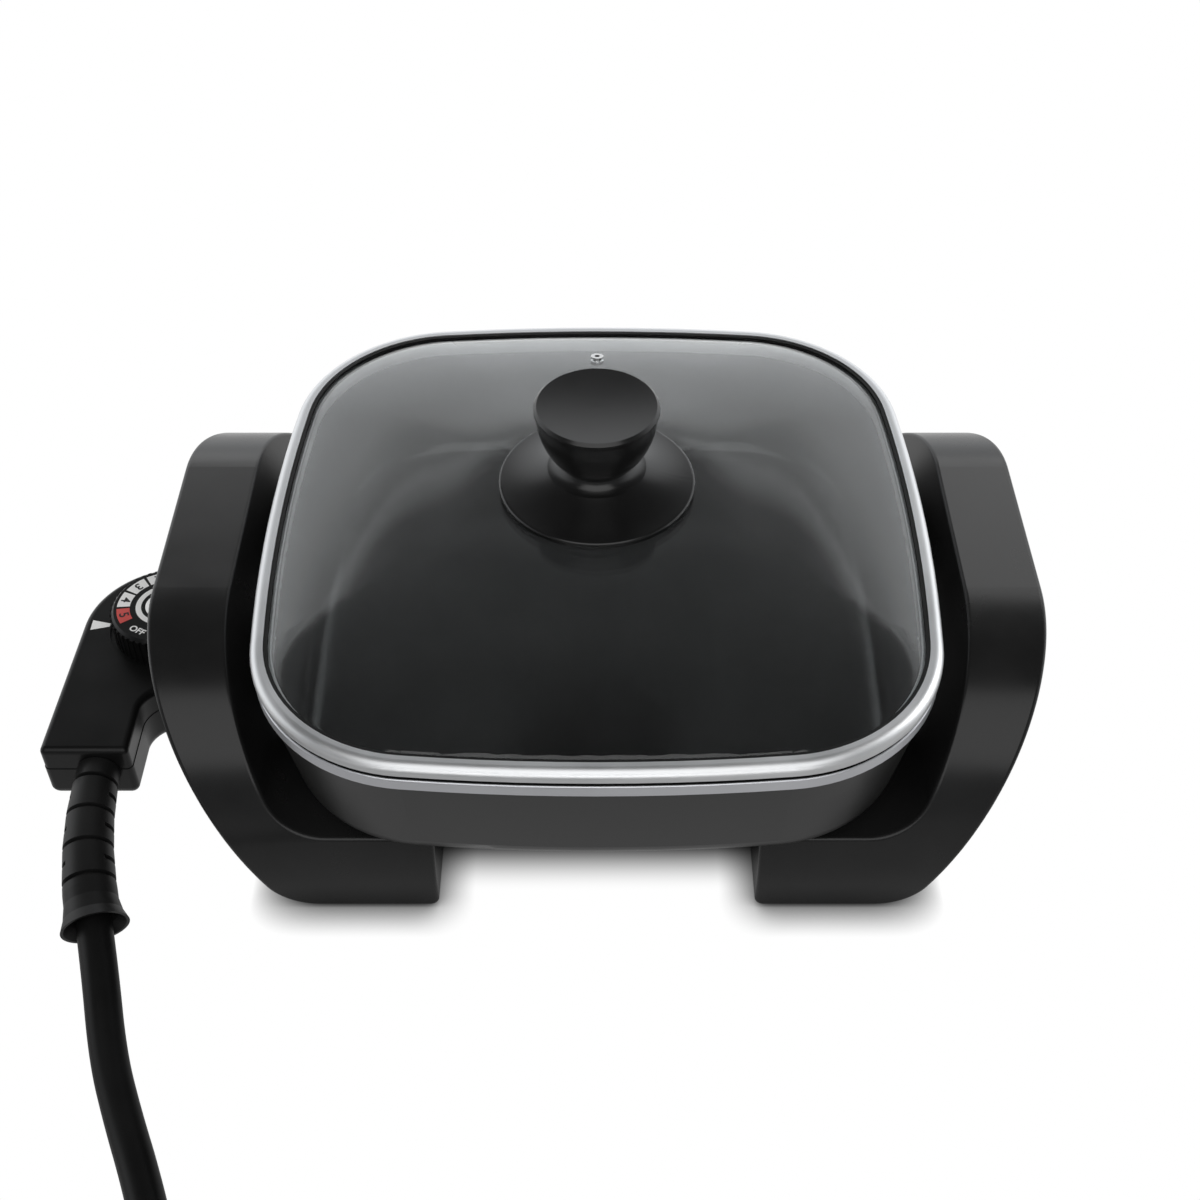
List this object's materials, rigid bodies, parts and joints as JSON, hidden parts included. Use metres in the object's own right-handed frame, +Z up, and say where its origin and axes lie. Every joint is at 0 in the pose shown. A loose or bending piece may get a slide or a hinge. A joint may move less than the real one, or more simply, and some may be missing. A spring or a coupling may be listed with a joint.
{
  "type": "electric cooking pot",
  "caption": "Square electric cooking pot on a pair of handle stands, with a lift-off domed glass lid, a centre knob and a plug-in temperature control with a dial and cord.",
  "frame": {"origin": "on the table under the middle of the pan", "axes": "+X to the right handle, -Y to the front, +Z up"},
  "size_m": [0.4546, 0.6222, 0.1882],
  "materials": {
    "coated_cast_aluminium": "dark non-stick coating, bare machined rim",
    "black_moulding": "black heat-proof moulding, satin",
    "knob_moulding": "black moulding, half gloss",
    "black_rubber": "black rubber, matt",
    "silicone": "black silicone",
    "cord_jacket": "black cord jacket",
    "tie_plastic": "black plastic strip",
    "lid_glass": "clear tempered glass",
    "steel": "bright steel",
    "element_steel": "dull steel",
    "ceramic": "white ceramic",
    "brass": "plain brass",
    "heat_proof_plastic": "dark heat-proof plastic",
    "white_plastic": "white plastic"
  },
  "bodies": {
    "pot": {"pan": "coated_cast_aluminium", "heating_element": "element_steel", "element_pins": "element_steel", "terminal_beads": "ceramic", "terminal_guard": "steel", "guard_screws": "steel", "left_handle": "black_moulding", "right_handle": "black_moulding", "heat_washers": "ceramic", "handle_screws": "steel", "foot_pads": "black_rubber"},
    "lid": {"lid_glass": "lid_glass", "lid_ring": "steel", "lid_gasket": "silicone", "vent_eyelet": "steel", "knob_base": "knob_moulding", "knob_grip": "knob_moulding", "knob_insert": "brass", "knob_screw": "steel", "knob_washer": "steel", "knob_seals": "silicone"},
    "control": {"control_top_cover": "black_moulding", "control_bottom_cover": "black_moulding", "cover_screws": "steel", "contact_block": "heat_proof_plastic", "contact_sockets": "brass", "probe_tube": "steel", "thermostat_bracket": "steel", "blade_spacers": "ceramic", "contact_blades": "brass", "cord_clamp": "heat_proof_plastic", "strain_relief": "black_rubber", "cord_lead": "cord_jacket", "cord_coil": "cord_jacket", "cord_tail": "cord_jacket", "cord_tie": "tie_plastic", "plug_body": "black_rubber", "plug_pins": "brass"},
    "dial": {"dial": "knob_moulding", "dial_shaft": "steel", "dial_cap": "white_plastic"}
  },
  "joints": [
    {"name": "lid_lift", "type": "slide", "parent": "pot", "child": "lid", "axis": [0, 0, 1], "range_m": [0, 0.12]},
    {"name": "control_pull", "type": "slide", "parent": "pot", "child": "control", "axis": [-1, 0, 0], "range_m": [0, 0.1]},
    {"name": "dial_turn", "type": "hinge", "parent": "control", "child": "dial", "pos_m": [-0.209, 0, 0.06], "axis": [0, 0, 1], "range_deg": [0, 300]}
  ]
}
